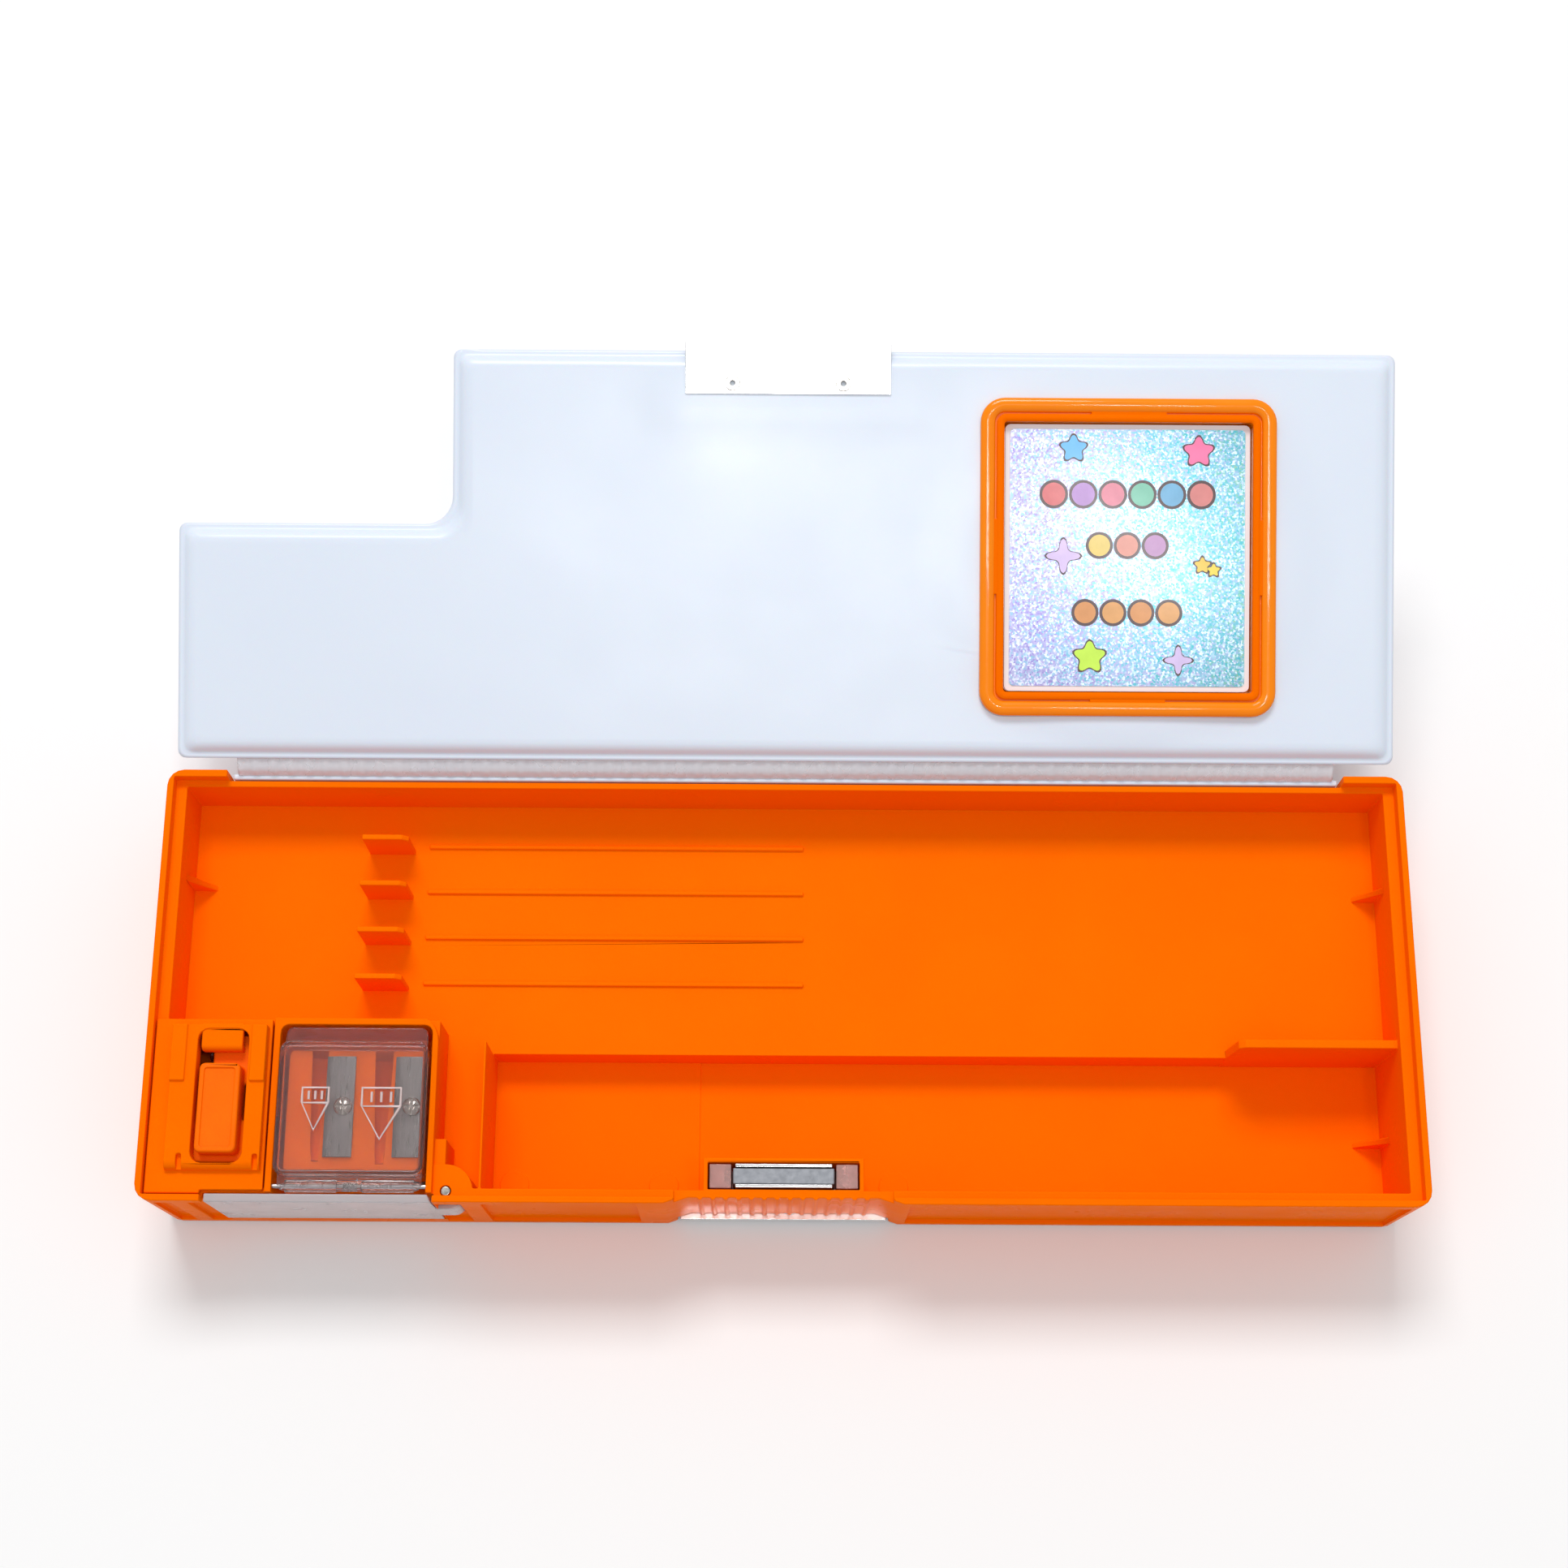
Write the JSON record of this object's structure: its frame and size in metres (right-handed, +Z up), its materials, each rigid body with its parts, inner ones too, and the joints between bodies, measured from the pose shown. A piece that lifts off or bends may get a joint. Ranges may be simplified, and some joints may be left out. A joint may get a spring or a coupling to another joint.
{
  "type": "pencil case",
  "caption": "Double-sided pencil case: moulded tray with padded lid and bottom flap on magnet catches, push-button sharpener, shavings drawer and lid badge.",
  "frame": {"origin": "centre of the case's footprint, on the outer face of the bottom flap that the closed case stands on", "axes": "+X along the case to the right, +Y from the finger notch to the hinge side, +Z up"},
  "size_m": [0.23, 0.1564, 0.0538],
  "materials": {
    "orange_plastic": "semi-gloss moulded plastic",
    "clear_plastic": "clear, glossy",
    "plated_steel": "bright plated",
    "ground_steel": "ground",
    "ferrite": "grey, matte",
    "vinyl": "soft white vinyl sheet, slightly glossy",
    "greyboard": "uncoated board",
    "glitter_card": "holographic glitter print"
  },
  "bodies": {
    "tray": {"tray": "orange_plastic", "button_housing": "orange_plastic", "magnet_carrier": "clear_plastic", "upper_magnet": "ferrite", "upper_pole_back": "plated_steel", "upper_pole_front": "plated_steel", "lower_magnet": "ferrite", "lower_pole_back": "plated_steel", "lower_pole_front": "plated_steel", "drawer_pin": "ground_steel", "sharpener_pivot_pin": "ground_steel", "pop_spring": "ground_steel", "latch_pin": "ground_steel", "button_spring": "ground_steel", "spine_panel": "vinyl", "lid_hinge_strip": "vinyl", "flap_hinge_strip": "vinyl"},
    "button": {"push_button": "orange_plastic"},
    "latch": {"latch_lever": "orange_plastic"},
    "sharpener": {"sharpener_body": "orange_plastic", "sharpener_cover": "clear_plastic", "blade_left": "ground_steel", "blade_right": "ground_steel", "blade_screw_left": "ground_steel", "blade_screw_right": "ground_steel"},
    "drawer": {"shavings_drawer": "clear_plastic"},
    "lid": {"lid_inner_skin": "vinyl", "lid_board": "greyboard", "lid_outer_skin": "vinyl", "lid_catch_plate": "plated_steel", "lid_rivet_left": "plated_steel", "lid_rivet_right": "plated_steel", "badge_frame": "orange_plastic", "badge_ring": "orange_plastic", "badge_card": "glitter_card", "badge_window": "clear_plastic", "badge_bezel": "orange_plastic"},
    "flap": {"flap_inner_skin": "vinyl", "flap_board": "greyboard", "flap_outer_skin": "vinyl", "flap_catch_plate": "plated_steel", "flap_rivet_left": "plated_steel", "flap_rivet_right": "plated_steel"}
  },
  "joints": [
    {"name": "lid_hinge", "type": "hinge", "parent": "tray", "child": "lid", "pos_m": [0, 0.0402, 0.0275], "axis": [1, 0, 0], "range_deg": [-17.5, 162.5], "deforming": ["lid_hinge_strip"]},
    {"name": "flap_hinge", "type": "hinge", "parent": "tray", "child": "flap", "pos_m": [0, 0.0402, 0.0016], "axis": [1, 0, 0], "range_deg": [0, 170], "deforming": ["flap_hinge_strip"]},
    {"name": "button_press", "type": "slide", "parent": "tray", "child": "button", "axis": [0, 0, -1], "range_m": [0, 0.002], "stiffness_N_per_m": 300, "springref_m": -0.002, "deforming": ["button_spring"]},
    {"name": "latch_turn", "type": "hinge", "parent": "tray", "child": "latch", "pos_m": [-0.0942, -0.022, 0.01605], "axis": [0, -1, 0], "range_deg": [0, 20]},
    {"name": "sharpener_tilt", "type": "hinge", "parent": "tray", "child": "sharpener", "pos_m": [-0.0773, -0.037, 0.0256], "axis": [1, 0, 0], "range_deg": [0, 38]},
    {"name": "drawer_swing", "type": "hinge", "parent": "tray", "child": "drawer", "pos_m": [-0.0602, -0.0377, 0.0134], "axis": [0, 0, 1], "range_deg": [0, 85]}
  ],
  "couplings": [
    {"joint": "latch_turn", "follows": "button_press", "rad_per_m": 166.67}
  ]
}
